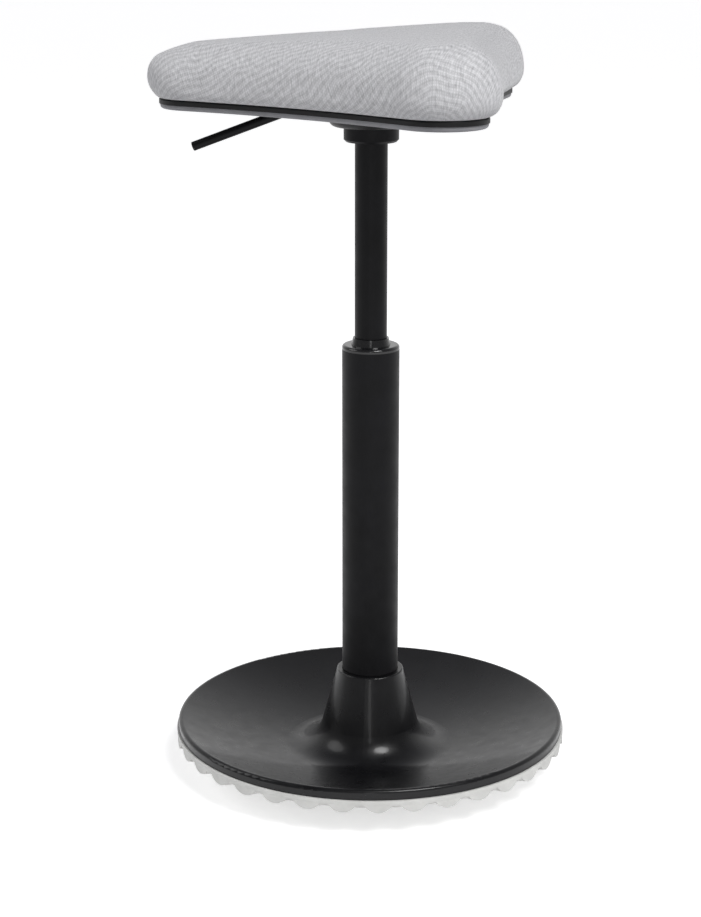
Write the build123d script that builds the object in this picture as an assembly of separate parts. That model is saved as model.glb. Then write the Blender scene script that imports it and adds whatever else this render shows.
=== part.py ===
# Height-adjustable rocking stool: a padded three-lobed seat on a gas lift that stands in a dished round base.
# Millimetres and degrees. +Z is up, the origin is on the floor under the column, and the seat's nose points to -Y.
from build123d import *
import math
import os

# Fits, shared by every piece
fit_gap = 0.05           # radial gap of a sliding or seated round fit
seat_gap = 0.3           # gap between faces that lie on each other
soft_gap = 0.3           # gap round foam and cloth

# Rocking base
base_radius = 175.0      # sole, where it is widest
rocker_radius = 500.0    # curve of the underside
foot_radius = 45.0       # flat middle that the stool stands on
sole_thickness = 5.0
sole_rim_width = 15.0    # thick edge of the sole, outside the steel plate
sole_edge_height = 5.9   # upright edge of the sole, up to the cover's hem
sole_edge_round = 4.0
tread_count = 36
tread_radius = 14.0      # round section of a tread rib
tread_depth = 4.6        # how far a rib stands out at the sole's edge
tread_length = 50.0
plate_thickness = 4.5    # pressed steel plate that gives the base its weight
cover_sheet = 1.6        # pressed steel cover
cover_step = 1.5         # cover's hem inside the sole's edge
cover_lift = 0.5         # cover above the plate, where the dish is lowest
dish_radius = 420.0      # curve of the cover's dish
dish_edge_round = 3.0
cone_foot_radius = 67.0  # where the trumpet has run out into the dish
collar_width = 4.6       # flat ring of the cover round the tube
cone_top_height = 87.0
cone_angle = 15.0        # of the trumpet's side, from upright
cone_fillet = 28.0
sole_screw_count = 8
sole_screw_circle = 105.0
sole_screw_radius = 3.0
sole_screw_head_radius = 5.5
sole_screw_head_height = 1.8
sole_screw_recess = 0.4

# Gas lift
tube_radius = 25.0
tube_wall = 2.0
tube_bottom = 16.0
tube_top = 381.5
taper_angle = 1.43       # half angle of both tapers
taper_below_collar = 9.0 # the tube is straight from here up, below the cover's collar
socket_wall = 2.4
cylinder_radius = 14.0
cylinder_wall = 2.5
cylinder_bottom = 182.0
cylinder_head = 32.0     # solid top of the cylinder, round the valve
bush_length = 100.0
bush_flange = 4.0
bush_collar_height = 6.0
bush_wall = 2.0
bush_lip = 3.0           # raised lip that wipes the cylinder, at its foot
rod_radius = 5.0
rod_stud_radius = 4.0    # both ends of the rod are turned down
rod_tail = 6.0           # end of the rod below the tube
end_plate_thickness = 3.0
race_thickness = 2.0
race_radius = 16.0
ball_radius = 2.45
ball_count = 9
ball_circle = 11.0
cage_width = 8.0
bump_stop_height = 10.0
bump_stop_radius = 17.0
rod_guide_length = 20.0
rod_seal_height = 6.0
piston_bottom = 330.0
piston_height = 16.0
piston_nut_height = 6.0
piston_ring_height = 4.0
piston_ring_depth = 2.0
stud_past_nut = 2.0
valve_length = 26.0
pin_radius = 4.0
pin_stem_radius = 2.5
pin_head_length = 15.0
pin_standing_out = 4.5   # of the cylinder's top, at rest

# Seat mechanism, at rest
socket_bottom = 560.5    # lower face of the seat socket
socket_flange = 12.5
socket_radius = 23.5
socket_neck_wall = 5.0
socket_neck_length = 20.0
hub_cover_radius = 36.5
hub_cover_height = 14.7
hub_cover_round = 7.0
hub_cover_sunk = 1.0     # its edge inside the pan, below the pan's inner face
pan_wall = 2.0
pan_height = 4.2
pan_wall_height = 1.5    # upright part of the pan's side
pan_post_radius = 5.0
pan_post_inset = 26.0    # posts inside the circle of the lobe centres
pan_post_spread = 13.0   # degrees to each side of a lobe's middle
pan_screw_radius = 2.0
pan_screw_head = 4.0
plate_sheet = 2.5        # hat-section plate under the seat board
hat_clear = 0.5          # plate above the pan
hat_half_width = 38.0
hat_flange = 28.0
hat_length = 90.0
hat_depth = 10.5         # floor to the top of the flanges
bolt_radius = 4.0
bolt_end_distance = 17.0 # bolts from the ends of the plate
bolt_head_height = 5.3
bolt_head_width = 13.0   # across flats
washer_thickness = 1.5
washer_radius = 8.0
lever_radius = 4.0
pivot_clear = 7.0        # pivot outside the socket's neck
lever_run = 8.0          # pivot to the bend
lever_reach = 154.0
lever_slope = 20.8
lever_bend_radius = 10.0
lever_swing = 7.0
lever_notch = 13.0       # width of the openings that the lever passes through
paddle_width = 14.0
paddle_thickness = 3.5
paddle_back = 8.0        # paddle past the column's axis
pivot_radius = 2.5
ear_sheet = 2.0
ear_gap = 0.8            # lever to ear

# Seat
lobe_distance = 144.0    # lobe centre from the column's axis
lobe_radius = 48.5
side_radius = 735.0      # hollow of the sides between the lobes
lobe_angles = (-90.0, 30.0, 150.0)
board_thickness = 12.0
board_inset = 20.0       # board's edge inside the widest outline
board_pocket = 6.0
trim_height = 4.5
trim_inset = 10.5
trim_width = 6.5
skirt_inset = 10.0       # cloth's lower edge inside the widest outline
skirt_height = 17.0      # cloth's lower edge up to the widest outline
side_face = 18.5         # crown height less the rounding of its edge
crown_height = 43.5      # widest outline up to the highest point of the crown
crown_radius = 6000.0
crown_shift = 280.0      # crown's middle behind the column's axis, so that the top falls evenly to the nose
cloth_thickness = 1.2
nut_flange_radius = 11.0
nut_flange_height = 1.5

# Sizes worked out from the sizes above
cover_radius = base_radius - cover_step
cone_top_radius = tube_radius + collar_width
tube_taper_top = cone_top_height - taper_below_collar
bush_collar_radius = cylinder_radius + bush_lip
socket_neck_radius = cylinder_radius + socket_neck_wall
pan_round = pan_height - pan_wall_height
pan_post_circle = lobe_distance - pan_post_inset
bolt_place_x = hat_half_width + hat_flange / 2
bolt_place_y = hat_length / 2 - bolt_end_distance
lever_pivot = socket_neck_radius + pivot_clear
lever_bend = lever_pivot + lever_run
shoulder_round = crown_height - side_face

# Heights worked out from the sizes above
socket_neck_bottom = socket_bottom + socket_flange
cylinder_top = socket_neck_bottom + socket_neck_length - seat_gap
hub_cover_bottom = socket_neck_bottom + seat_gap
pan_bottom = hub_cover_bottom + hub_cover_height - pan_wall + hub_cover_sunk
hat_bottom = pan_bottom + pan_wall + hat_clear
board_bottom = hat_bottom + hat_depth
board_top = board_bottom + board_thickness
pan_top = pan_bottom + pan_height
cloth_bottom = pan_top + trim_height + seat_gap
pin_top = cylinder_top + pin_standing_out
paddle_bottom = pin_top + seat_gap
lever_height = paddle_bottom + paddle_thickness / 2
end_plate_top = tube_bottom + end_plate_thickness
ball_middle = end_plate_top + race_thickness + fit_gap + ball_radius
upper_race_bottom = ball_middle + ball_radius + fit_gap
rod_shoulder = upper_race_bottom + race_thickness
bush_top = tube_top + bush_flange


def point(radius, height):
    return (radius, 0, height)


def turned(*outline):
    return revolve(make_face(Polyline(*[point(r, z) for r, z in outline], close=True)), Axis.Z)


def ring(inner, outer, bottom, top):
    return turned((inner, bottom), (outer, bottom), (outer, top), (inner, top))


def rod(radius, bottom, top):
    return turned((0, bottom), (radius, bottom), (radius, top), (0, top))


def upright(shape, bottom, height):
    return Pos(0, 0, bottom) * extrude(shape, height)


def at_polar(radius, angle):
    return radius * math.cos(math.radians(angle)), radius * math.sin(math.radians(angle))


def taper(height):
    return height * math.tan(math.radians(taper_angle))


# Base

def rocker(radius, lift=0.0):
    """Height of the underside's curve, or of a surface that lies above it."""
    return lift + max(0.0, radius ** 2 - foot_radius ** 2) / (2 * rocker_radius)


def rocker_arc(start, end, lift):
    middle = (start + end) / 2
    return ThreePointArc(*[point(r, rocker(r, lift)) for r in (start, middle, end)])


def plate_edge():
    return base_radius - sole_rim_width


def rocker_shell(outer, bottom_lift, top_lift, inner=0.0):
    """Part of the bowl between two surfaces that follow the rocker curve."""
    bottom, top = rocker(0, bottom_lift), rocker(0, top_lift)
    outline = [
        Line(point(inner, bottom), point(foot_radius, bottom)),
        rocker_arc(foot_radius, outer, bottom_lift),
        Line(point(outer, rocker(outer, bottom_lift)), point(outer, rocker(outer, top_lift))),
        rocker_arc(outer, foot_radius, top_lift),
        Line(point(foot_radius, top), point(inner, top)),
        Line(point(inner, top), point(inner, bottom)),
    ]
    return revolve(make_face(outline), Axis.Z)


def sole_rim_top():
    return rocker(base_radius) + sole_edge_height


def sole_rim():
    inner = plate_edge() + seat_gap
    start = inner - sole_thickness
    outline = [
        rocker_arc(start, base_radius, 0.0),
        Polyline(point(base_radius, rocker(base_radius)), point(base_radius, sole_rim_top()),
                 point(inner, sole_rim_top()), point(inner, rocker(inner, sole_thickness)),
                 point(start, rocker(start))),
    ]
    rim = revolve(make_face(outline), Axis.Z)
    lower_edge = rim.edges().filter_by(GeomType.CIRCLE).sort_by(
        lambda e: abs(e.radius - base_radius) + abs(e.center().Z - rocker(base_radius)))[0]
    return fillet(lower_edge, sole_edge_round)


def sole_bowl():
    return rocker_shell(plate_edge(), 0.0, sole_thickness) + sole_rim()


def tread_ribs():
    """Rounded ribs under the sole's edge, which run out towards the middle."""
    outer_point = Vector(0, base_radius, rocker(base_radius) - tread_depth + tread_radius)
    inner_point = Vector(0, base_radius - tread_length, rocker(base_radius - tread_length) + tread_radius)
    along = Plane(origin=inner_point, z_dir=outer_point - inner_point)
    rib = along * Pos(0, 0, tread_length / 4) * Cylinder(tread_radius, 1.5 * tread_length)
    rib &= rocker_shell(base_radius - fit_gap, -2 * tread_radius, sole_thickness / 2, inner=foot_radius / 2)
    rib -= sole_bowl()
    return [Rot(0, 0, i * 360 / tread_count) * rib for i in range(tread_count)]


def screw_places():
    return PolarLocations(sole_screw_circle, sole_screw_count)


def screw_head_bottom():
    return rocker(sole_screw_circle + sole_screw_head_radius) + sole_screw_recess


def sole():
    bowl = sole_bowl()
    head_top = screw_head_bottom() + sole_screw_head_height
    for place in screw_places():
        bowl -= place * rod(sole_screw_head_radius + seat_gap, 0, head_top)
        bowl -= place * rod(sole_screw_radius + seat_gap, 0, head_top + 2 * sole_thickness)
    return bowl


def plate_lift():
    return sole_thickness + seat_gap


def weight_plate():
    plate = rocker_shell(plate_edge() - seat_gap, plate_lift(), plate_lift() + plate_thickness,
                         inner=socket_outer() + fit_gap)
    for place in screw_places():
        plate -= place * rod(sole_screw_radius + fit_gap, 0, cone_top_height)
    return plate


def sole_screws():
    bottom = screw_head_bottom()
    head_top = bottom + sole_screw_head_height - fit_gap
    shank_top = rocker(sole_screw_circle, plate_lift() + plate_thickness) - 2 * sole_screw_recess
    screw = rod(sole_screw_head_radius, bottom, head_top) + rod(sole_screw_radius, head_top, shank_top)
    screw -= upright(RegularPolygon(sole_screw_radius, 6), bottom, sole_screw_head_height / 2)
    return [place * screw for place in screw_places()]


def socket_outer():
    return tube_radius + socket_wall


def column_socket():
    """Steel sleeve, welded into the plate, that the tube's taper sits in."""
    bottom = plate_lift() - seat_gap
    lower_bore = tube_radius + fit_gap - taper(tube_taper_top - bottom)
    return turned((lower_bore, bottom), (socket_outer(), bottom), (socket_outer(), tube_taper_top),
                  (tube_radius + fit_gap, tube_taper_top))


def dish(radius, inset):
    """Height of the cover's dish, or of its inner face."""
    lowest = rocker(cone_foot_radius, plate_lift() + plate_thickness + cover_lift + cover_sheet)
    return lowest + (radius ** 2 - cone_foot_radius ** 2) / (2 * dish_radius) - inset


def cone(height, inset):
    """Radius of the trumpet's side, or of its inner face."""
    slope = math.radians(cone_angle)
    return cone_top_radius + (cone_top_height - height) * math.tan(slope) - inset / math.cos(slope)


def cover_corner(inset):
    """Where the trumpet's side would meet the dish without a fillet."""
    height = dish(cone_foot_radius, inset)
    for _ in range(20):
        height = dish(cone(height, inset), inset)
    return cone(height, inset), height


def base_cover():
    """Dish and trumpet pressed from one sheet, with a hem round the edge and a collar round the tube."""
    bore = tube_radius + seat_gap
    outline = []
    corners = []
    for inset in (0.0, cover_sheet):
        foot, floor = cover_corner(inset)
        edge = cover_radius - inset
        top = cone_top_height - inset
        middle = (foot + edge) / 2
        corners.append([point(bore, top), point(cone(top, inset), top), point(foot, floor),
                        point(middle, dish(middle, inset)), point(edge, dish(edge, inset)),
                        point(edge, sole_rim_top() + seat_gap)])
    for collar, shoulder, foot, middle, edge, hem in corners:
        outline += [Line(collar, shoulder), Line(shoulder, foot), ThreePointArc(foot, middle, edge),
                    Line(edge, hem)]
    outline += [Line(corners[0][0], corners[1][0]), Line(corners[0][-1], corners[1][-1])]
    face = make_face(outline)
    rounds = [(1, 1.2, 0), (2, cone_fillet, 0), (4, dish_edge_round, 0),
              (2, cone_fillet + cover_sheet, 1), (4, dish_edge_round - cover_sheet, 1)]
    for corner, radius, side in rounds:
        vertex = face.vertices().sort_by_distance(corners[side][corner])[0]
        face = fillet(vertex, radius)
    return revolve(face, Axis.Z)


# Gas lift

def outer_tube():
    lower = tube_radius - taper(tube_taper_top - tube_bottom)
    return turned((lower, tube_bottom), (tube_radius, tube_taper_top), (tube_radius, tube_top),
                  (tube_radius - tube_wall, tube_top), (tube_radius - tube_wall, tube_taper_top),
                  (lower - tube_wall, tube_bottom))


def tube_end_plate():
    edge = tube_radius - tube_wall - taper(tube_taper_top - tube_bottom) - fit_gap
    return ring(rod_stud_radius + seat_gap, edge, tube_bottom, end_plate_top)


def guide_bush():
    """Moulded guide with a flange on the tube and a raised lip that wipes the cylinder."""
    bore = cylinder_radius + fit_gap
    outer = tube_radius - tube_wall - fit_gap
    bottom = tube_top - bush_length
    bush = turned((bore, bottom), (outer, bottom), (outer, tube_top), (tube_radius, tube_top),
                  (tube_radius, bush_top), (bush_collar_radius, bush_top),
                  (bore + bush_lip / 2, bush_top + bush_collar_height), (bore, bush_top + bush_collar_height))
    rim = bush.edges().filter_by(GeomType.CIRCLE).sort_by(
        lambda e: abs(e.radius - tube_radius) + abs(e.center().Z - bush_top))[0]
    bush = fillet(rim, 0.6 * bush_flange)
    core = ring(bore + bush_wall, outer - bush_wall, bottom, tube_top - bush_wall)
    spokes = [Rot(0, 0, 45 * i) * Box(2 * tube_radius, bush_wall, 2 * tube_top) for i in range(4)]
    return bush - (core - spokes)


def lower_race():
    return ring(rod_stud_radius + 0.6, race_radius, end_plate_top, end_plate_top + race_thickness)


def upper_race():
    return ring(rod_stud_radius + fit_gap, race_radius, upper_race_bottom, rod_shoulder)


def ball_places():
    return PolarLocations(ball_circle, ball_count)


def ball_cage():
    half = 0.45 * ball_radius
    cage = ring(ball_circle - cage_width / 2, ball_circle + cage_width / 2, ball_middle - half, ball_middle + half)
    for place in ball_places():
        cage -= place * rod(ball_radius + 2 * fit_gap, 0, cone_top_height)
    return cage


def bearing_balls():
    return [place * Pos(0, 0, ball_middle) * Sphere(ball_radius) for place in ball_places()]


def clip_groove():
    """Lower and upper face of the groove for the retaining clip."""
    top = tube_bottom - 2 * seat_gap - race_thickness / 2
    return top - race_thickness / 2, top


def piston_rod():
    tail = tube_bottom - rod_tail
    groove_bottom, groove_top = clip_groove()
    neck = 0.7 * rod_stud_radius
    stud_top = piston_bottom + piston_height + piston_nut_height + stud_past_nut
    return turned((0, tail), (rod_stud_radius, tail), (rod_stud_radius, groove_bottom),
                  (neck, groove_bottom), (neck, groove_top), (rod_stud_radius, groove_top),
                  (rod_stud_radius, rod_shoulder), (rod_radius, rod_shoulder), (rod_radius, piston_bottom),
                  (rod_stud_radius, piston_bottom), (rod_stud_radius, stud_top), (0, stud_top))


def rod_clip():
    """Open spring clip in the rod's groove."""
    bottom, top = clip_groove()
    clip = ring(0.7 * rod_stud_radius + fit_gap, 2 * rod_stud_radius, bottom + fit_gap, top - fit_gap)
    return clip - Pos(2 * rod_stud_radius, 0, top) * Box(4 * rod_stud_radius, rod_radius, 2 * race_thickness)


def rod_washer():
    return ring(rod_stud_radius + fit_gap, 2.4 * rod_stud_radius, clip_groove()[1] + fit_gap, tube_bottom - seat_gap)


def bump_stop():
    bottom = rod_shoulder + fit_gap
    top = bottom + bump_stop_height
    waist = bump_stop_radius - 3
    bore = rod_radius + fit_gap
    return turned((bore, bottom), (bump_stop_radius, bottom), (waist, (bottom + top) / 2),
                  (bump_stop_radius, top), (bore, top))


def cylinder_bore():
    return cylinder_radius - cylinder_wall


def cylinder_chamber_top():
    return cylinder_top - cylinder_head


def gas_cylinder():
    """Pressure tube with a tapered top and a stepped hole for the release pin."""
    top_radius = cylinder_radius - taper(cylinder_top - socket_bottom)
    bore = cylinder_bore()
    chamber = cylinder_chamber_top()
    guide = cylinder_top - pin_head_length - 1
    pin_hole = pin_radius + fit_gap
    stem_hole = pin_stem_radius + fit_gap
    return turned((bore, cylinder_bottom), (cylinder_radius, cylinder_bottom), (cylinder_radius, socket_bottom),
                  (top_radius, cylinder_top), (pin_hole, cylinder_top), (pin_hole, guide),
                  (stem_hole, guide), (stem_hole, chamber), (bore, chamber))


def rod_guide():
    return ring(rod_radius + fit_gap, cylinder_bore() - fit_gap, cylinder_bottom, cylinder_bottom + rod_guide_length)


def rod_seal():
    bottom = cylinder_bottom + rod_guide_length + fit_gap
    return ring(rod_radius + fit_gap, cylinder_bore() - fit_gap, bottom, bottom + rod_seal_height)


def piston():
    outer = cylinder_bore() - 2 * seat_gap
    lower, upper = piston_groove()
    groove = outer - piston_ring_depth
    return turned((rod_stud_radius + fit_gap, piston_bottom), (outer, piston_bottom), (outer, lower),
                  (groove, lower), (groove, upper), (outer, upper), (outer, piston_bottom + piston_height),
                  (rod_stud_radius + fit_gap, piston_bottom + piston_height))


def piston_groove():
    middle = piston_bottom + piston_height / 2
    return middle - piston_ring_height / 2, middle + piston_ring_height / 2


def piston_ring():
    lower, upper = piston_groove()
    inner = cylinder_bore() - 2 * seat_gap - piston_ring_depth + fit_gap
    return ring(inner, cylinder_bore() - fit_gap, lower + fit_gap, upper - fit_gap)


def piston_nut():
    bottom = piston_bottom + piston_height
    nut = upright(RegularPolygon(1.8 * rod_stud_radius, 6), bottom, piston_nut_height)
    return nut - rod(rod_stud_radius + fit_gap, 0, socket_bottom)


def valve_body():
    top = cylinder_chamber_top() - fit_gap
    return ring(pin_stem_radius + fit_gap, cylinder_bore() - fit_gap, top - valve_length, top)


def release_pin():
    head_bottom = pin_top - pin_head_length
    stem_bottom = cylinder_chamber_top() - valve_length / 2
    head = rod(pin_radius, head_bottom, pin_top)
    head = fillet(head.edges().group_by(Axis.Z)[-1], 0.7 * pin_radius)
    return head + rod(pin_stem_radius, stem_bottom, head_bottom)


# Seat mechanism

def seat_socket():
    """Turned hub that the cylinder's taper sits in, with the flange that shows under the seat."""
    lower_bore = cylinder_radius + fit_gap
    neck_top = socket_neck_bottom + socket_neck_length
    upper_bore = lower_bore - taper(neck_top - socket_bottom)
    chamfer = 2.0
    return turned((lower_bore, socket_bottom), (socket_radius - chamfer, socket_bottom),
                  (socket_radius, socket_bottom + chamfer), (socket_radius, socket_neck_bottom),
                  (socket_neck_radius, socket_neck_bottom), (socket_neck_radius, neck_top),
                  (upper_bore, neck_top))


def mechanism_plate():
    """Hat-section plate: the socket sits in its floor, and its flanges bolt up to the board."""
    wall, flange = hat_half_width, hat_half_width + hat_flange
    low, high = hat_bottom, board_bottom
    half = [(wall, low), (wall, high - plate_sheet), (flange, high - plate_sheet), (flange, high),
            (wall - plate_sheet, high), (wall - plate_sheet, low + plate_sheet)]
    outline = half + [(-x, z) for x, z in reversed(half)]
    face = make_face(Polyline(*[(x, 0, z) for x, z in outline], close=True))
    plate = extrude(face, hat_length / 2, both=True)
    ends = [e for e in plate.edges().filter_by(Axis.Z) if abs(abs(e.center().X) - flange) < fit_gap]
    plate = fillet(ends, 0.4 * hat_flange)
    plate -= rod(socket_neck_radius + fit_gap, 0, cloth_bottom)
    plate -= Pos(0, -hat_length / 2, hat_bottom) * Box(lever_notch, hat_length - 2 * lever_bend, hat_depth)
    for place in bolt_places():
        plate -= place * rod(bolt_radius + seat_gap, 0, board_top)
    return plate


def bolt_places():
    return GridLocations(2 * bolt_place_x, 2 * bolt_place_y, 2, 2)


def plate_washers():
    top = board_bottom - plate_sheet
    washer = ring(bolt_radius + seat_gap, washer_radius, top - washer_thickness, top)
    return [place * washer for place in bolt_places()]


def plate_bolts():
    head_top = board_bottom - plate_sheet - washer_thickness
    head = upright(RegularPolygon(bolt_head_width / 2, 6, major_radius=False),
                   head_top - bolt_head_height, bolt_head_height)
    bolt = head + rod(bolt_radius, head_top, board_top + nut_flange_height / 2)
    return [place * bolt for place in bolt_places()]


def tee_nuts():
    barrel = bolt_radius + 1.5
    nut = ring(bolt_radius + fit_gap, barrel, board_bottom + 2, board_top)
    nut += ring(bolt_radius + fit_gap, nut_flange_radius, board_top, board_top + nut_flange_height)
    return [place * nut for place in bolt_places()]


def lever_line(distance):
    """Height of the lever's middle line outside the bend."""
    return lever_height - (distance - lever_bend) * math.tan(math.radians(lever_slope))


def release_lever():
    """Bent bar, flattened over the release pin and drilled for its pivot."""
    start = 0.4 * lever_pivot
    route = FilletPolyline((0, -start, lever_height), (0, -lever_bend, lever_height),
                           (0, -lever_reach, lever_line(lever_reach)), radius=lever_bend_radius)
    bar = sweep(Plane(origin=route @ 0, z_dir=route % 0) * Circle(lever_radius), path=route)
    length = start + paddle_back + lever_radius
    paddle = extrude(Rectangle(paddle_width, length), paddle_thickness)
    paddle = fillet(paddle.edges().filter_by(Axis.Z), 0.4 * paddle_width)
    lever = bar + Pos(0, paddle_back - length / 2, paddle_bottom) * paddle
    return lever - cross_pin(pivot_radius + fit_gap, 4 * lever_radius)


def cross_pin(radius, length, middle=0.0):
    """Round bar along the lever's pivot axis."""
    return Pos(middle, -lever_pivot, lever_height) * Rot(0, 90, 0) * Cylinder(radius, length)


def ear_face():
    """Inner face of an ear, from the middle plane."""
    return lever_radius + ear_gap


def lever_ears():
    """Two angle brackets on the plate's floor that carry the pivot."""
    floor = hat_bottom + plate_sheet
    depth = 5 * pivot_radius
    height = lever_height + 2 * pivot_radius - floor
    foot_width = 4 * pivot_radius
    ear = Pos(ear_face() + ear_sheet / 2, -lever_pivot, floor + height / 2) * Box(ear_sheet, depth, height)
    foot = Pos(ear_face() + foot_width / 2, -lever_pivot, floor + ear_sheet / 2) * Box(foot_width, depth, ear_sheet)
    right = ear + foot - cross_pin(pivot_radius + fit_gap, 4 * socket_radius)
    return [right, mirror(right, Plane.YZ)]


def pivot_pin():
    outside = ear_face() + ear_sheet + fit_gap
    tail = 3.0
    head = cross_pin(1.6 * pivot_radius, ear_sheet, outside + ear_sheet / 2)
    shank = cross_pin(pivot_radius, 2 * outside + tail, -tail / 2)
    return shank + head


def pivot_clip():
    middle = -(ear_face() + ear_sheet + 2 * fit_gap + ear_sheet / 4)
    return cross_pin(1.8 * pivot_radius, ear_sheet / 2, middle) - cross_pin(pivot_radius + fit_gap, 2 * ear_sheet, middle)


def hub_cover():
    """Round cup that fills the hole in the pan and hides the socket's neck."""
    top = hub_cover_bottom + hub_cover_height
    cup = rod(hub_cover_radius, hub_cover_bottom, top)
    cup = fillet(cup.edges().group_by(Axis.Z)[0], hub_cover_round)
    inner = rod(hub_cover_radius - pan_wall, hub_cover_bottom + pan_wall, top)
    inner = fillet(inner.edges().group_by(Axis.Z)[0], hub_cover_round - pan_wall)
    return cup - inner - rod(socket_neck_radius + seat_gap, 0, top)


# Seat

def lobed_outline(inset=0.0):
    """Three round lobes joined by hollow sides, drawn inside the widest outline."""
    lobe = lobe_radius - inset
    side = side_radius + inset
    centres = [Vector(*at_polar(lobe_distance, a)) for a in lobe_angles]
    hollows = []
    for i in range(3):
        a, b = centres[i], centres[(i + 1) % 3]
        middle = (a + b) * 0.5
        reach = math.sqrt((side + lobe) ** 2 - (b - a).length ** 2 / 4)
        hollows.append(middle + middle.normalized() * reach)
    edges = []
    for i in range(3):
        before, after, centre = hollows[i - 1], hollows[i], centres[i]
        following = centres[(i + 1) % 3]
        start = centre + (before - centre).normalized() * lobe
        tip = centre + centre.normalized() * lobe
        end = centre + (after - centre).normalized() * lobe
        waist = after - after.normalized() * side
        last = following + (after - following).normalized() * lobe
        edges.append(ThreePointArc(start, tip, end))
        edges.append(ThreePointArc(end, waist, last))
    return make_face(edges)


def skirt_round():
    """Radius that draws the sides in from the widest outline to the cloth's lower edge."""
    return (skirt_height ** 2 + skirt_inset ** 2) / (2 * skirt_inset)


def cushion_form(depth, bottom):
    """Crowned cushion with drawn-in sides, a given depth under its outer face."""
    widest = cloth_bottom + skirt_height
    low = widest - skirt_round() + depth
    block = upright(lobed_outline(depth), low, widest + crown_height - low)
    block &= Pos(0, crown_shift, widest + crown_height - crown_radius) * Sphere(crown_radius - depth)
    block = fillet(block.faces().sort_by(Axis.Z)[0].edges(), skirt_round() - depth)
    crown = block.faces().sort_by(Axis.Z)[-1]
    block = fillet(crown.edges(), shoulder_round - depth)
    return split(block, Plane.XY.offset(bottom), keep=Keep.TOP)


def seat_cover():
    """Sewn cloth cover over the foam, open underneath."""
    skins = [cushion_form(depth, cloth_bottom) for depth in (0.0, cloth_thickness)]
    rims = [skin.faces().sort_by(Axis.Z)[0] for skin in skins]
    faces = [f for skin in skins for f in skin.faces().sort_by(Axis.Z)[1:]]
    hem = Face(rims[0].outer_wire(), [rims[1].outer_wire()])
    return Solid(Shell(faces + [hem]))


def seat_foam():
    foam = cushion_form(cloth_thickness + soft_gap, cloth_bottom + soft_gap)
    foam -= upright(lobed_outline(board_inset - soft_gap), cloth_bottom - soft_gap,
                    board_top + 2 * soft_gap - cloth_bottom)
    for place in bolt_places():
        foam -= place * rod(nut_flange_radius + soft_gap, board_bottom, board_top + nut_flange_height + soft_gap)
    return foam


def seat_board():
    """Plywood board with a pocket for the mechanism and a groove for the lever."""
    board = upright(lobed_outline(board_inset), board_bottom, board_thickness)
    middle = board_bottom + board_pocket / 2
    board -= Pos(0, 0, middle) * Box(2 * hat_half_width, hat_length, board_pocket)
    groove = lever_bend + 2 * paddle_width
    board -= Pos(0, -groove / 2, middle) * Box(1.2 * paddle_width, groove, board_pocket)
    for place in bolt_places():
        board -= place * rod(bolt_radius + 1.5 + fit_gap, 0, board_top)
    for place in post_places():
        board -= place * rod(pan_screw_radius + fit_gap, 0, board_bottom + 0.75 * board_thickness)
    return board


def post_places():
    places = [at_polar(pan_post_circle, a + s * pan_post_spread) for a in lobe_angles for s in (-1, 1)]
    return [Pos(x, y) for x, y in places]


def lever_slot():
    """Where the lever leaves the pan, with room for its swing."""
    resting = math.tan(math.radians(lever_slope))
    raised = math.tan(math.radians(lever_slope - lever_swing))
    lift = lever_run * math.sin(math.radians(lever_swing))
    near = lever_bend + (lever_height - pan_bottom - pan_wall - 1.5 * lever_radius) / resting - lever_notch / 4
    far = lever_bend + (lever_height + lift + 1.2 * lever_radius - pan_bottom) / raised + lever_notch / 2
    slot = SlotOverall(far - near, lever_notch)
    return Pos(0, -(near + far) / 2, pan_bottom) * Rot(0, 0, 90) * extrude(slot, 2 * pan_wall, both=True)


def seat_pan():
    """Moulded underside that closes the seat and carries the screw posts."""
    inset = trim_inset + 1
    pan = upright(lobed_outline(inset), pan_bottom, pan_height)
    pan = fillet(pan.edges().group_by(Axis.Z)[0], pan_round)
    inner = upright(lobed_outline(inset + pan_wall), pan_bottom + pan_wall, pan_height)
    inner = fillet(inner.edges().group_by(Axis.Z)[0], pan_round - pan_wall)
    pan -= inner
    for place in post_places():
        pan += place * rod(pan_post_radius, pan_bottom + pan_wall / 2, board_bottom - seat_gap)
        pan -= place * rod(pan_screw_radius + seat_gap, 0, board_top)
        pan -= place * rod(pan_screw_head + seat_gap, 0, pan_bottom + pan_wall)
    return pan - rod(hub_cover_radius + seat_gap, 0, board_bottom) - lever_slot()


def pan_screws():
    head_top = pan_bottom + pan_wall - fit_gap
    screw = rod(pan_screw_head, pan_bottom + 0.5, head_top)
    screw += rod(pan_screw_radius, head_top, board_bottom + 0.6 * board_thickness)
    return [place * screw for place in post_places()]


def edge_trim():
    """Black strip between the pan and the cloth."""
    strip = upright(lobed_outline(trim_inset), pan_top, trim_height)
    strip = fillet(strip.edges().group_by(Axis.Z)[-1], 0.3 * trim_height)
    return strip - upright(lobed_outline(trim_inset + trim_width), pan_top, trim_height)


pieces = [
    sole, tread_ribs, weight_plate, sole_screws, column_socket, base_cover,
    outer_tube, tube_end_plate, guide_bush, lower_race, ball_cage, bearing_balls, upper_race,
    piston_rod, rod_clip, rod_washer, bump_stop, piston, piston_ring, piston_nut,
    gas_cylinder, rod_guide, rod_seal, valve_body, release_pin,
    seat_socket, hub_cover, mechanism_plate, plate_bolts, plate_washers, tee_nuts,
    release_lever, lever_ears, pivot_pin, pivot_clip,
    seat_board, seat_pan, pan_screws, edge_trim, seat_foam, seat_cover,
]

os.makedirs("parts", exist_ok=True)
for piece in pieces:
    made = piece()
    solids = [s for shape in (made if isinstance(made, list) else [made]) for s in shape.solids()]
    export_step(Compound(children=solids), f"parts/{piece.__name__}.step")
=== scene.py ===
import math
import bpy
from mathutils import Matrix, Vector, noise


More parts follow.
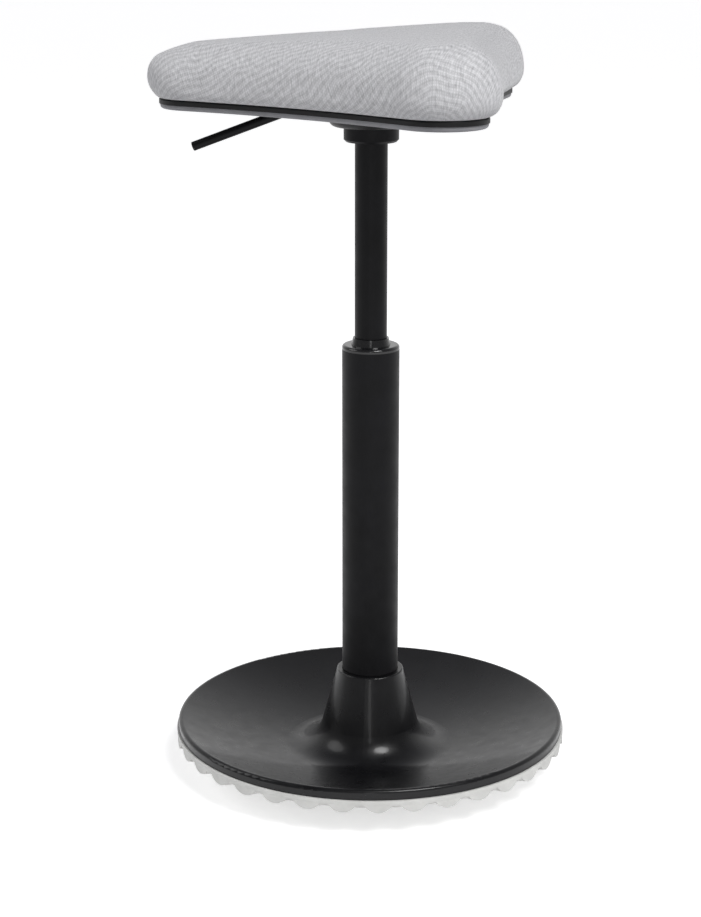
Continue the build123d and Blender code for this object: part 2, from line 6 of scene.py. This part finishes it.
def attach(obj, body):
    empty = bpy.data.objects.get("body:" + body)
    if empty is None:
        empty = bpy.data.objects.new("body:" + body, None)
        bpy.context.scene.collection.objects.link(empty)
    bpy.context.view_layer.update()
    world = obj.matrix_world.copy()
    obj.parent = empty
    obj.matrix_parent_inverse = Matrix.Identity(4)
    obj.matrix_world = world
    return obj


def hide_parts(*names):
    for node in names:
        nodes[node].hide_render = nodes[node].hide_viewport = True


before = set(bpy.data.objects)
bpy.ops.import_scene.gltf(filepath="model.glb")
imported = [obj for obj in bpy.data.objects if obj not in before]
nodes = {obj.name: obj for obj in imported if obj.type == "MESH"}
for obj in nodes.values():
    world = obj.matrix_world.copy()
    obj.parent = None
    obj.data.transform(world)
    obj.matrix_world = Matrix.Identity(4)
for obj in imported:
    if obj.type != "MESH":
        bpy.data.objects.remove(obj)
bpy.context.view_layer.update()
scene = bpy.context.scene
scene.view_settings.view_transform = "Standard"
print("stage: frame loaded,", len(nodes), "nodes")


def hexToLinear(hexCode):
    channels = [int(hexCode[i:i + 2], 16) / 255 for i in (1, 3, 5)]
    linear = [c / 12.92 if c <= 0.04045 else ((c + 0.055) / 1.055) ** 2.4 for c in channels]
    return (*linear, 1.0)


def addNode(tree, kind, inputs=None, stops=(), **settings):
    node = tree.nodes.new(kind)
    for name, value in settings.items():
        setattr(node, name, value)
    for stop, (place, colour) in zip(node.color_ramp.elements if stops else (), stops):
        stop.position = place
        stop.color = hexToLinear(colour)
    for socket, value in (inputs or {}).items():
        if isinstance(value, bpy.types.NodeSocket):
            tree.links.new(value, node.inputs[socket])
        else:
            node.inputs[socket].default_value = value
    return node


def startMaterial(name, **fixed):
    material = bpy.data.materials.new(name)
    material.use_nodes = True
    tree = material.node_tree
    shader = tree.nodes["Principled BSDF"]
    for socket, value in fixed.items():
        shader.inputs[socket.replace("_", " ")].default_value = value
    return material, tree, shader


def perMetre(millimetres):
    return 1000 / millimetres  # texture scale for cells of this size, coordinates in metres


def bandScale(millimetres):
    return 314.16 / millimetres  # wave scale for bands of this pitch, coordinates in metres


# camera at the photograph's place: chest height, looking down by about 15 degrees
cameraSet = {"place": (1.7683, 0.2370, 0.7705), "tilt": 74.7, "turn": 98.2, "lens": 82.44}
cameraData = bpy.data.cameras.new("photoCamera")
cameraData.lens = cameraSet["lens"]
cameraData.sensor_width = 36
camera = bpy.data.objects.new("photoCamera", cameraData)
camera.location = cameraSet["place"]
camera.rotation_euler = (math.radians(cameraSet["tilt"]), 0, math.radians(cameraSet["turn"]))
scene.collection.objects.link(camera)
scene.camera = camera
print("stage: camera set")

# lights: a broad soft box over the camera's right shoulder, a weaker one off the seat's nose, a tall strip in front
lightSet = {
    "keyLight": {"place": (1.45, 1.2, 2.4), "aim": (0, 0, 0.5), "wide": 1.2, "tall": 1.2, "watts": 54},
    "fillLight": {"place": (0.4, -2.2, 1.8), "aim": (0, 0, 0.5), "wide": 1.6, "tall": 1.6, "watts": 16},
    "stripLight": {"place": (3.6, 0.5, 0.9), "aim": (0, 0, 0.5), "wide": 0.35, "tall": 2.0, "watts": 5},
}
for lightName, given in lightSet.items():
    lightData = bpy.data.lights.new(lightName, "AREA")
    lightData.shape = "ELLIPSE"
    lightData.size = given["wide"]
    lightData.size_y = given["tall"]
    lightData.energy = given["watts"]
    lamp = bpy.data.objects.new(lightName, lightData)
    lamp.location = given["place"]
    toward = Vector(given["aim"]) - Vector(given["place"])
    lamp.rotation_euler = toward.to_track_quat("-Z", "Y").to_euler()
    scene.collection.objects.link(lamp)

# dome: soft grey light, brightest low down behind the stool, dim overhead and behind the camera
# white to the eye, and in what is mirrored white behind the stool and dimmer behind the camera
domeSet = {"overhead": "#8A8A8E", "horizon": "#E4E4E6", "behindStool": 1.0, "behindCamera": 0.4, "seen": "#FFFFFF",
           "seenAbove": "#BEBEC2", "mirrorBehindCamera": 0.3}
world = bpy.data.worlds.new("studioDome")
scene.world = world
world.use_nodes = True
domeTree = world.node_tree
domeTree.nodes.clear()
domeWay = addNode(domeTree, "ShaderNodeTexCoord")
domeUp = addNode(domeTree, "ShaderNodeSeparateXYZ", {0: domeWay.outputs["Generated"]})
domeShade = addNode(domeTree, "ShaderNodeValToRGB", {"Fac": domeUp.outputs["Z"]},
                    stops=((0.05, domeSet["horizon"]), (0.6, domeSet["overhead"])))
domeSide = addNode(domeTree, "ShaderNodeMapRange", {"Value": domeUp.outputs["X"], "From Min": -0.5, "From Max": 0.5,
                                                    "To Min": domeSet["behindStool"],
                                                    "To Max": domeSet["behindCamera"]})
domeLight = addNode(domeTree, "ShaderNodeBackground", {"Color": domeShade.outputs["Color"],
                                                       "Strength": domeSide.outputs[0]})
seenShade = addNode(domeTree, "ShaderNodeValToRGB", {"Fac": domeUp.outputs["Z"]},
                    stops=((0.4, domeSet["seen"]), (0.75, domeSet["seenAbove"])))
rays = addNode(domeTree, "ShaderNodeLightPath")
mirrorSide = addNode(domeTree, "ShaderNodeMapRange", {"Value": domeUp.outputs["X"], "From Min": -0.8, "From Max": 0.0,
                                                      "To Min": 1.0, "To Max": domeSet["mirrorBehindCamera"]})
seenLevel = addNode(domeTree, "ShaderNodeMath", {0: rays.outputs["Is Camera Ray"], 1: mirrorSide.outputs[0]},
                    operation="MAXIMUM")
domeSeen = addNode(domeTree, "ShaderNodeBackground", {"Color": seenShade.outputs["Color"],
                                                      "Strength": seenLevel.outputs[0]})
mirrorRay = addNode(domeTree, "ShaderNodeMath", {0: rays.outputs["Is Glossy Ray"],
                                                 1: rays.outputs["Is Transmission Ray"]}, operation="MAXIMUM")
seenRay = addNode(domeTree, "ShaderNodeMath", {0: rays.outputs["Is Camera Ray"], 1: mirrorRay.outputs[0]},
                  operation="MAXIMUM")
domeMix = addNode(domeTree, "ShaderNodeMixShader", {0: seenRay.outputs[0], 1: domeLight.outputs[0],
                                                    2: domeSeen.outputs[0]})
addNode(domeTree, "ShaderNodeOutputWorld", {"Surface": domeMix.outputs[0]})

# floor: a wide pale sweep, lifted to white for the eye, less so near the stool, where it keeps the shadow
floorSet = {"half": 30.0, "below": 0.0004, "colour": "#EFEFEF", "near": 0.2, "liftNear": 0.56, "far": 0.7,
            "liftFar": 0.78}
floorMesh = bpy.data.meshes.new("studioFloor")
reach, drop = floorSet["half"], -floorSet["below"]
floorMesh.from_pydata([(-reach, -reach, drop), (reach, -reach, drop), (reach, reach, drop), (-reach, reach, drop)],
                      [], [(0, 1, 2, 3)])
floor = bpy.data.objects.new("studioFloor", floorMesh)
scene.collection.objects.link(floor)
floorPaint, floorTree, floorShader = startMaterial("mattWhiteFloor", Base_Color=hexToLinear(floorSet["colour"]),
                                                   Roughness=0.9, Specular_IOR_Level=0.1,
                                                   Emission_Color=(1, 1, 1, 1))
floorRays = addNode(floorTree, "ShaderNodeLightPath")
floorMirror = addNode(floorTree, "ShaderNodeMath", {0: floorRays.outputs["Is Glossy Ray"],
                                                    1: floorRays.outputs["Is Transmission Ray"]}, operation="MAXIMUM")
floorEye = addNode(floorTree, "ShaderNodeMath", {0: floorRays.outputs["Is Camera Ray"], 1: floorMirror.outputs[0]},
                   operation="MAXIMUM")
floorPlace = addNode(floorTree, "ShaderNodeTexCoord")
floorAway = addNode(floorTree, "ShaderNodeVectorMath", {0: floorPlace.outputs["Object"]}, operation="LENGTH")
floorLevel = addNode(floorTree, "ShaderNodeMapRange", {"Value": floorAway.outputs["Value"],
                                                       "From Min": floorSet["near"], "From Max": floorSet["far"],
                                                       "To Min": floorSet["liftNear"], "To Max": floorSet["liftFar"]})
floorLift = addNode(floorTree, "ShaderNodeMath", {0: floorEye.outputs[0], 1: floorLevel.outputs[0]},
                    operation="MULTIPLY")
floorTree.links.new(floorLift.outputs[0], floorShader.inputs["Emission Strength"])
floorMesh.materials.append(floorPaint)
print("stage: light and floor set")

# woven polyester: matt grey melange yarn in fine crossed threads, a soft bloom where it turns away
clothSet = {"dark": "#A2A2A5", "light": "#DEDEE0", "threadMm": 1.9, "yarnMm": 5.0, "wateredMm": 5.5, "pullMm": 38.0,
            "pullBy": 0.012}


def wovenPolyester(uvName):
    material, tree, shader = startMaterial("wovenPolyester", Sheen_Weight=0.3, Sheen_Roughness=0.5,
                                           Specular_IOR_Level=0.2)
    flat = addNode(tree, "ShaderNodeUVMap", uv_map=uvName).outputs["UV"]
    pull = addNode(tree, "ShaderNodeTexNoise", {"Vector": flat, "Scale": perMetre(clothSet["pullMm"]), "Detail": 1.0})
    centred = addNode(tree, "ShaderNodeVectorMath", {0: pull.outputs["Color"], 1: (0.5, 0.5, 0.5)},
                      operation="SUBTRACT")
    offset = addNode(tree, "ShaderNodeVectorMath", {0: centred.outputs[0], "Scale": clothSet["pullBy"]},
                     operation="SCALE")
    pulled = addNode(tree, "ShaderNodeVectorMath", {0: flat, 1: offset.outputs[0]}, operation="ADD").outputs[0]
    pitch = bandScale(clothSet["threadMm"])  # real threads are about 0.8 mm apart, drawn coarser to show
    warp = addNode(tree, "ShaderNodeTexWave", {"Vector": pulled, "Scale": pitch, "Distortion": 0.6,
                                               "Detail Scale": 2.0}, bands_direction="X")
    weft = addNode(tree, "ShaderNodeTexWave", {"Vector": pulled, "Scale": pitch, "Distortion": 0.6,
                                               "Detail Scale": 2.0}, bands_direction="Y")
    weave = addNode(tree, "ShaderNodeMath", {0: warp.outputs["Fac"], 1: weft.outputs["Fac"]}, operation="MULTIPLY")
    along = addNode(tree, "ShaderNodeMapping", {"Vector": pulled, "Rotation": (0, 0, 0.6), "Scale": (1.0, 3.0, 1.0)})
    yarn = addNode(tree, "ShaderNodeTexNoise", {"Vector": along.outputs[0], "Scale": perMetre(clothSet["yarnMm"]),
                                                "Detail": 4.0, "Roughness": 0.65})
    watered = addNode(tree, "ShaderNodeTexWave", {"Vector": pulled, "Scale": bandScale(clothSet["wateredMm"]),
                                                  "Distortion": 7.0, "Detail": 1.0, "Detail Scale": 0.6},
                      bands_direction="X")  # light and dark bands where the threads of stretched cloth line up
    speck = addNode(tree, "ShaderNodeMath", {0: weave.outputs[0], 1: 0.2, 2: yarn.outputs["Fac"]},
                    operation="MULTIPLY_ADD")
    tint = addNode(tree, "ShaderNodeMath", {0: watered.outputs["Fac"], 1: 0.16, 2: speck.outputs[0]},
                   operation="MULTIPLY_ADD")
    shade = addNode(tree, "ShaderNodeValToRGB", {"Fac": tint.outputs[0]},
                    stops=((0.34, clothSet["dark"]), (0.92, clothSet["light"])))
    tree.links.new(shade.outputs["Color"], shader.inputs["Base Color"])
    rough = addNode(tree, "ShaderNodeMapRange", {"Value": yarn.outputs["Fac"], "To Min": 0.8, "To Max": 0.95})
    tree.links.new(rough.outputs[0], shader.inputs["Roughness"])
    relief = addNode(tree, "ShaderNodeBump", {"Height": speck.outputs[0], "Strength": 0.4, "Distance": 0.0008})
    tree.links.new(relief.outputs["Normal"], shader.inputs["Normal"])
    return material


# powder coat and electrocoat: black skin with a faint orange-peel waviness
coatSet = {
    "glossBlackPowderCoat": {  # mirrors the studio softly
        "dark": "#0C0C0E", "light": "#131315", "roughLow": 0.26, "roughHigh": 0.36, "peelMm": 3.0, "peelDeep": 0.00005,
        "Specular_IOR_Level": 0.27, "Coat_Weight": 0.15, "Coat_Roughness": 0.08},
    "satinBlackPowderCoat": {  # deep black with only a dull shine along the tube
        "dark": "#09090B", "light": "#101013", "roughLow": 0.4, "roughHigh": 0.5, "peelMm": 1.6, "peelDeep": 0.0001,
        "Specular_IOR_Level": 0.14},
    "blackElectrocoatSteel": {  # thin even coat, a little greyer
        "dark": "#1C1C1D", "light": "#2A2A2B", "roughLow": 0.4, "roughHigh": 0.55, "peelMm": 1.0, "peelDeep": 0.00005},
}


def powderCoat(name, dark, light, roughLow, roughHigh, peelMm, peelDeep, **fixed):
    material, tree, shader = startMaterial(name, **fixed)
    place = addNode(tree, "ShaderNodeTexCoord").outputs["Object"]
    cloud = addNode(tree, "ShaderNodeTexNoise", {"Vector": place, "Scale": perMetre(30), "Detail": 4.0})
    shade = addNode(tree, "ShaderNodeValToRGB", {"Fac": cloud.outputs["Fac"]}, stops=((0.35, dark), (0.7, light)))
    tree.links.new(shade.outputs["Color"], shader.inputs["Base Color"])
    dust = addNode(tree, "ShaderNodeTexNoise", {"Vector": place, "Scale": perMetre(12), "Detail": 6.0})
    rough = addNode(tree, "ShaderNodeMapRange", {"Value": dust.outputs["Fac"], "From Min": 0.3, "From Max": 0.7,
                                                 "To Min": roughLow, "To Max": roughHigh})
    tree.links.new(rough.outputs[0], shader.inputs["Roughness"])
    peel = addNode(tree, "ShaderNodeTexNoise", {"Vector": place, "Scale": perMetre(peelMm), "Detail": 1.0})
    relief = addNode(tree, "ShaderNodeBump", {"Height": peel.outputs["Fac"], "Strength": 0.25, "Distance": peelDeep})
    tree.links.new(relief.outputs["Normal"], shader.inputs["Normal"])
    return material


# moulded plastic or rubber: even colour with a slight flow mottle and the fine grain of the mould
# real mould grain is about 0.4 mm wide, drawn coarser to show
mouldSet = {
    "paleMouldedRubber": {  # chalky and matt
        "dark": "#DCDCD9", "light": "#EAEAE7", "roughLow": 0.6, "roughHigh": 0.75, "grainMm": 1.5, "grainDeep": 0.0003},
    "blackNitrileRubber": {  # dull black
        "dark": "#161616", "light": "#222222", "roughLow": 0.6, "roughHigh": 0.75, "grainMm": 1.2, "grainDeep": 0.0002},
    "grainedGreyPolypropylene": {  # matt grey with a grain that breaks up the shine
        "dark": "#77777B", "light": "#88888C", "roughLow": 0.5, "roughHigh": 0.65, "grainMm": 1.4, "grainDeep": 0.0003},
    "mouldedBlackNylon": {  # half matt
        "dark": "#19191A", "light": "#252527", "roughLow": 0.38, "roughHigh": 0.5, "grainMm": 1.2, "grainDeep": 0.0002,
        "Specular_IOR_Level": 0.25},
    "mouldedBlackAcetal": {  # smooth and slippery, mirrors the backdrop at a low angle
        "dark": "#121213", "light": "#1B1B1D", "roughLow": 0.12, "roughHigh": 0.2, "grainMm": 1.2,
        "grainDeep": 0.00005},
    "extrudedBlackStrip": {  # satin black line under the cloth
        "dark": "#0E0E0F", "light": "#19191A", "roughLow": 0.42, "roughHigh": 0.55, "grainMm": 2.0, "grainDeep": 0.0002,
        "Specular_IOR_Level": 0.2},
}


def mouldedGrain(name, dark, light, roughLow, roughHigh, grainMm, grainDeep, **fixed):
    material, tree, shader = startMaterial(name, **fixed)
    place = addNode(tree, "ShaderNodeTexCoord").outputs["Object"]
    mottle = addNode(tree, "ShaderNodeTexNoise", {"Vector": place, "Scale": perMetre(18), "Detail": 5.0,
                                                  "Roughness": 0.6})
    shade = addNode(tree, "ShaderNodeValToRGB", {"Fac": mottle.outputs["Fac"]}, stops=((0.3, dark), (0.7, light)))
    tree.links.new(shade.outputs["Color"], shader.inputs["Base Color"])
    grain = addNode(tree, "ShaderNodeTexVoronoi", {"Vector": place, "Scale": perMetre(grainMm)})
    rough = addNode(tree, "ShaderNodeMapRange", {"Value": grain.outputs["Distance"], "To Min": roughLow,
                                                 "To Max": roughHigh})
    tree.links.new(rough.outputs[0], shader.inputs["Roughness"])
    relief = addNode(tree, "ShaderNodeBump", {"Height": grain.outputs["Distance"], "Strength": 0.3,
                                              "Distance": grainDeep})
    tree.links.new(relief.outputs["Normal"], shader.inputs["Normal"])
    return material


# bare or plated metal: fine turning or plating marks that stretch round the axis
# real turning marks are about 0.1 mm apart, drawn coarser to show
metalSet = {
    "zincPlatedSteel": {  # greyish, soft shine
        "dark": "#9EA0A2", "light": "#C2C4C4", "roughLow": 0.28, "roughHigh": 0.42, "markMm": 1.5},
    "groundSteel": {  # bright and nearly a mirror
        "dark": "#B4B5B7", "light": "#D2D3D4", "roughLow": 0.12, "roughHigh": 0.22, "markMm": 0.8},
    "turnedBrass": {  # warm yellow with fine rings
        "dark": "#A8863F", "light": "#CBA65A", "roughLow": 0.2, "roughHigh": 0.35, "markMm": 0.8},
}


def workedMetal(name, dark, light, roughLow, roughHigh, markMm):
    material, tree, shader = startMaterial(name, Metallic=1.0)
    place = addNode(tree, "ShaderNodeTexCoord").outputs["Object"]
    rings = addNode(tree, "ShaderNodeMapping", {"Vector": place, "Scale": (0.15, 0.15, 1.0)})
    marks = addNode(tree, "ShaderNodeTexNoise", {"Vector": rings.outputs[0], "Scale": perMetre(markMm), "Detail": 3.0})
    shade = addNode(tree, "ShaderNodeValToRGB", {"Fac": marks.outputs["Fac"]}, stops=((0.3, dark), (0.7, light)))
    tree.links.new(shade.outputs["Color"], shader.inputs["Base Color"])
    rough = addNode(tree, "ShaderNodeMapRange", {"Value": marks.outputs["Fac"], "To Min": roughLow,
                                                 "To Max": roughHigh})
    tree.links.new(rough.outputs[0], shader.inputs["Roughness"])
    relief = addNode(tree, "ShaderNodeBump", {"Height": marks.outputs["Fac"], "Strength": 0.15, "Distance": 0.0001})
    tree.links.new(relief.outputs["Normal"], shader.inputs["Normal"])
    return material


# birch plywood: pale veneer with long soft grain, and thin dark glue lines between the plies
plywoodSet = {"dark": "#A07B4C", "light": "#D9BC8E", "grainMm": 4.0, "twoPliesMm": 3.0}


def birchPlywood():
    material, tree, shader = startMaterial("sandedBirchPlywood", Specular_IOR_Level=0.3)
    place = addNode(tree, "ShaderNodeTexCoord").outputs["Object"]
    along = addNode(tree, "ShaderNodeMapping", {"Vector": place, "Scale": (1.0, 0.06, 1.0)})
    grain = addNode(tree, "ShaderNodeTexNoise", {"Vector": along.outputs[0], "Scale": perMetre(plywoodSet["grainMm"]),
                                                 "Detail": 5.0})
    plies = addNode(tree, "ShaderNodeTexWave", {"Vector": place, "Scale": bandScale(plywoodSet["twoPliesMm"])},
                    bands_direction="Z")
    mix = addNode(tree, "ShaderNodeMath", {0: plies.outputs["Fac"], 1: 0.35, 2: grain.outputs["Fac"]},
                  operation="MULTIPLY_ADD")
    shade = addNode(tree, "ShaderNodeValToRGB", {"Fac": mix.outputs[0]},
                    stops=((0.3, plywoodSet["dark"]), (1.0, plywoodSet["light"])))
    tree.links.new(shade.outputs["Color"], shader.inputs["Base Color"])
    rough = addNode(tree, "ShaderNodeMapRange", {"Value": grain.outputs["Fac"], "To Min": 0.55, "To Max": 0.75})
    tree.links.new(rough.outputs[0], shader.inputs["Roughness"])
    relief = addNode(tree, "ShaderNodeBump", {"Height": grain.outputs["Fac"], "Strength": 0.2, "Distance": 0.0003})
    tree.links.new(relief.outputs["Normal"], shader.inputs["Normal"])
    return material


finishes = {name: powderCoat(name, **given) for name, given in coatSet.items()}
finishes.update({name: mouldedGrain(name, **given) for name, given in mouldSet.items()})
finishes.update({name: workedMetal(name, **given) for name, given in metalSet.items()})
finishes["sandedBirchPlywood"] = birchPlywood()

piecesIn = {
    "glossBlackPowderCoat": ("base_cover",),
    "satinBlackPowderCoat": ("outer_tube", "gas_cylinder", "seat_socket", "release_lever"),
    "blackElectrocoatSteel": ("weight_plate", "column_socket", "mechanism_plate", "lever_ears"),
    "paleMouldedRubber": ("sole", "tread_ribs"),
    "blackNitrileRubber": ("bump_stop", "piston_ring", "rod_seal"),
    "grainedGreyPolypropylene": ("seat_pan",),
    "mouldedBlackNylon": ("ball_cage", "rod_guide", "hub_cover"),
    "mouldedBlackAcetal": ("guide_bush",),
    "extrudedBlackStrip": ("edge_trim",),
    "zincPlatedSteel": ("sole_screws", "tube_end_plate", "rod_clip", "rod_washer", "piston_nut", "plate_bolts",
                        "plate_washers", "tee_nuts", "pivot_pin", "pivot_clip", "pan_screws"),
    "groundSteel": ("lower_race", "bearing_balls", "upper_race", "piston_rod", "release_pin"),
    "turnedBrass": ("piston", "valve_body"),
    "sandedBirchPlywood": ("seat_board",),
}
for finishName, pieceNames in piecesIn.items():
    for pieceName in pieceNames:
        nodes[pieceName].data.materials.clear()
        nodes[pieceName].data.materials.append(finishes[finishName])
print("stage: finishes set")

# seat cushion: foam in a stretched cloth cover, three round lobes with hollow sides, closed over the board
cushionSet = {
    "lobeFromAxis": 0.144, "lobeRadius": 0.0485, "lobeTurns": (-90, 30, 150), "sideRadius": 0.735,
    "crownTop": 0.6557, "crownBack": 0.280, "crownRadius": 6.0, "widest": 0.613, "shoulderWidth": 0.034,
    "shoulderPower": 2.4, "startInside": 0.0008, "skirtRadius": 0.01945, "skirtTurn": 60.9, "crownRings": 22,
    "shoulderRings": 10, "skirtRings": 4, "swell": 0.0025, "pressure": 4.0, "frames": 20, "fill": 0.9,
    "shoulderCloth": 1.35, "pucker": 0.0005, "puckerReach": 0.03, "puckersPerMetre": 90, "hemHeight": 0.596,
}
coverFeel = {  # how the cover resists the swelling
    "quality": 6, "mass": 0.3, "tension_stiffness": 12, "compression_stiffness": 12, "shear_stiffness": 4,
    "bending_stiffness": 0.4,
}


def outlineArcs():
    lobe, side = cushionSet["lobeRadius"], cushionSet["sideRadius"]
    middles = [Vector((math.cos(math.radians(a)), math.sin(math.radians(a)))) * cushionSet["lobeFromAxis"]
               for a in cushionSet["lobeTurns"]]
    hollows = []
    for i in range(3):
        half = (middles[i] + middles[(i + 1) % 3]) / 2
        across = (middles[(i + 1) % 3] - middles[i]).length
        hollows.append(half + half.normalized() * math.sqrt((side + lobe) ** 2 - across ** 2 / 4))
    arcs = []
    for i in range(3):
        into, out = hollows[i - 1] - middles[i], hollows[i] - middles[i]
        first = math.atan2(into.y, into.x)
        turn = (math.atan2(out.y, out.x) - first) % (2 * math.pi)
        arcs.append((middles[i], lobe, first, turn, 1))
        into, out = middles[i] - hollows[i], middles[(i + 1) % 3] - hollows[i]
        first = math.atan2(into.y, into.x)
        turn = (math.atan2(out.y, out.x) - first + math.pi) % (2 * math.pi) - math.pi
        arcs.append((hollows[i], side, first, turn, -1))
    return arcs


arcs = outlineArcs()
arcLengths = [abs(radius * turn) for middle, radius, first, turn, sign in arcs]


def outlineAt(share):
    left = (share % 1.0) * sum(arcLengths)
    for (middle, radius, first, turn, sign), length in zip(arcs, arcLengths):
        if left <= length:
            angle = first + turn * left / length
            way = Vector((math.cos(angle), math.sin(angle)))
            return middle + way * radius, way * sign
        left -= length
    return outlineAt(0.0)


def domeHeight(x, y):
    away = x * x + (y - cushionSet["crownBack"]) ** 2
    return cushionSet["crownTop"] - away / (2 * cushionSet["crownRadius"])


def shareRound(i, j):
    # place of a grid point round its square ring, as a share of the whole way round
    ring = max(abs(i), abs(j))
    if ring == 0:
        return 0.0
    if j == -ring and i < ring:
        return (i + ring) / (8 * ring)
    if i == ring and j < ring:
        return (j + 3 * ring) / (8 * ring)
    if j == ring and i > -ring:
        return (5 * ring - i) / (8 * ring)
    return (7 * ring - j) / (8 * ring)


def cushionSkin():
    # each ring from the middle of the crown outwards: how far in from the outline, its height, its flat cloth place
    width, power = cushionSet["shoulderWidth"], 2 / cushionSet["shoulderPower"]
    slack = cushionSet["startInside"]  # room for the swelling
    crown, shoulder, skirt = cushionSet["crownRings"], cushionSet["shoulderRings"], cushionSet["skirtRings"]

    def pointAt(ring, share):
        rim, out = outlineAt(share)
        if ring <= crown:
            flat = (rim - out * width) * (ring / crown)
            return Vector((flat.x, flat.y, domeHeight(flat.x, flat.y) - slack)), flat
        if ring <= crown + shoulder:
            turn = math.pi / 2 * (1 - (ring - crown) / shoulder)
            inset = width * (1 - math.cos(turn) ** power) if turn < math.pi / 2 else width
            flat = rim - out * (inset + 0.2 * slack * math.cos(turn))
            rise = (domeHeight(flat.x, flat.y) - slack - cushionSet["widest"]) * math.sin(turn) ** power
            run = width * (ring - crown) / shoulder * cushionSet["shoulderCloth"]
            return Vector((flat.x, flat.y, cushionSet["widest"] + rise)), rim - out * width + out * run
        turn = math.radians(cushionSet["skirtTurn"]) * (ring - crown - shoulder) / skirt
        inset = cushionSet["skirtRadius"] * (1 - math.cos(turn))
        flat = rim - out * (inset + 0.2 * slack * (1 - (ring - crown - shoulder) / skirt))
        height = cushionSet["widest"] - cushionSet["skirtRadius"] * math.sin(turn)
        run = width * cushionSet["shoulderCloth"] + cushionSet["skirtRadius"] * turn
        return Vector((flat.x, flat.y, height)), rim - out * width + out * run

    rings = crown + shoulder + skirt
    points, cloth, index = [], [], {}
    for i in range(-rings, rings + 1):
        for j in range(-rings, rings + 1):
            place, flat = pointAt(max(abs(i), abs(j)), shareRound(i, j))
            index[i, j] = len(points)
            points.append(place)
            cloth.append(flat)
    faces = [(index[i, j], index[i + 1, j], index[i + 1, j + 1], index[i, j + 1])
             for i in range(-rings, rings) for j in range(-rings, rings)]
    border = [index[i, -rings] for i in range(-rings, rings)]
    border += [index[rings, j] for j in range(-rings, rings)]
    border += [index[i, rings] for i in range(rings, -rings, -1)]
    border += [index[-rings, j] for j in range(rings, -rings, -1)]
    return points, cloth, faces, border


# hem turned under the edge, then up beside the board and flat across it: inset and height of each loop
hemLoops = ((0.0112, 0.5961), (0.0150, 0.5963), (0.0184, 0.5966), (0.0192, 0.5975), (0.0193, 0.6131),
            (0.0196, 0.6140), (0.0215, 0.6142))


def makeCushion():
    points, cloth, faces, border = cushionSkin()
    held = set(border)
    loop = border
    for inset, height in hemLoops:
        under = []
        for k in range(len(border)):
            rim, out = outlineAt(k / len(border))
            flat = rim - out * inset
            under.append(len(points))
            points.append(Vector((flat.x, flat.y, height)))
            cloth.append(flat)
        faces += [(loop[k], under[k], under[(k + 1) % len(loop)], loop[(k + 1) % len(loop)])
                  for k in range(len(loop))]
        held.update(under)
        loop = under
    rings = len(loop) // 8
    inner = {}
    for i in range(-rings, rings + 1):
        for j in range(-rings, rings + 1):
            ring = max(abs(i), abs(j))
            if ring == rings:
                inner[i, j] = loop[round(shareRound(i, j) * len(loop)) % len(loop)]
                continue
            rim, out = outlineAt(shareRound(i, j))
            flat = (rim - out * hemLoops[-1][0]) * (ring / rings)
            inner[i, j] = len(points)
            points.append(Vector((flat.x, flat.y, hemLoops[-1][1])))
            cloth.append(flat)
    held.update(inner.values())
    faces += [(inner[i, j], inner[i, j + 1], inner[i + 1, j + 1], inner[i + 1, j])
              for i in range(-rings, rings) for j in range(-rings, rings)]
    mesh = bpy.data.meshes.new("seatCushion")
    mesh.from_pydata([tuple(p) for p in points], [], faces)
    uvLayer = mesh.uv_layers.new(name="clothFlat")
    for corner in mesh.loops:
        uvLayer.data[corner.index].uv = cloth[corner.vertex_index]
    for face in mesh.polygons:
        face.use_smooth = True
    mesh.validate()
    piece = bpy.data.objects.new("seat_cushion", mesh)
    scene.collection.objects.link(piece)
    pin = piece.vertex_groups.new(name="heldEdge")
    pin.add(sorted(held), 1.0, "REPLACE")
    return piece, held


def swellCushion(piece, held):
    start = [v.co.copy() for v in piece.data.vertices]
    soft = piece.modifiers.new("coverCloth", "CLOTH")
    for setting, value in coverFeel.items():
        setattr(soft.settings, setting, value)
    soft.settings.use_pressure = True
    soft.settings.uniform_pressure_force = cushionSet["pressure"]
    soft.settings.vertex_group_mass = "heldEdge"
    soft.settings.effector_weights.gravity = 0
    soft.point_cache.frame_start = 1
    soft.point_cache.frame_end = cushionSet["frames"]
    for step in range(1, cushionSet["frames"] + 1):
        scene.frame_set(step)
    settled = piece.evaluated_get(bpy.context.evaluated_depsgraph_get()).to_mesh()
    moved = [v.co.copy() for v in settled.vertices]
    piece.modifiers.remove(soft)
    scene.frame_set(1)
    for vertex in piece.data.vertices:
        if vertex.index in held:
            continue
        shift = moved[vertex.index] - start[vertex.index]
        if shift.length > cushionSet["swell"]:
            shift *= cushionSet["swell"] / shift.length
        vertex.co = start[vertex.index] + shift
    largest = max((b - a).length for a, b in zip(start, moved))
    print("stage: cushion swelled, largest step", round(largest * 1000, 2), "mm")


def puckerHem(piece, held):
    # small pulls in the cloth above the hem, where it is drawn round the board
    reach = cushionSet["puckerReach"]
    for vertex in piece.data.vertices:
        above = vertex.co.z - cushionSet["hemHeight"]
        if vertex.index in held or above > reach:
            continue
        ripple = noise.noise(Vector((vertex.co.x, vertex.co.y, 0)) * cushionSet["puckersPerMetre"])
        fade = math.sin(math.pi * min(1.0, above / reach))
        out = Vector((vertex.co.x, vertex.co.y, 0)).normalized()
        vertex.co += out * ripple * fade * cushionSet["pucker"]


cushion, heldPoints = makeCushion()
swellCushion(cushion, heldPoints)
puckerHem(cushion, heldPoints)
smoother = cushion.modifiers.new("softCloth", "SUBSURF")
smoother.levels = 1
smoother.render_levels = 1
cushion.data.materials.append(wovenPolyester("clothFlat"))
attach(cushion, "seat")
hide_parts("seat_cover", "seat_foam")
print("stage: cushion made")
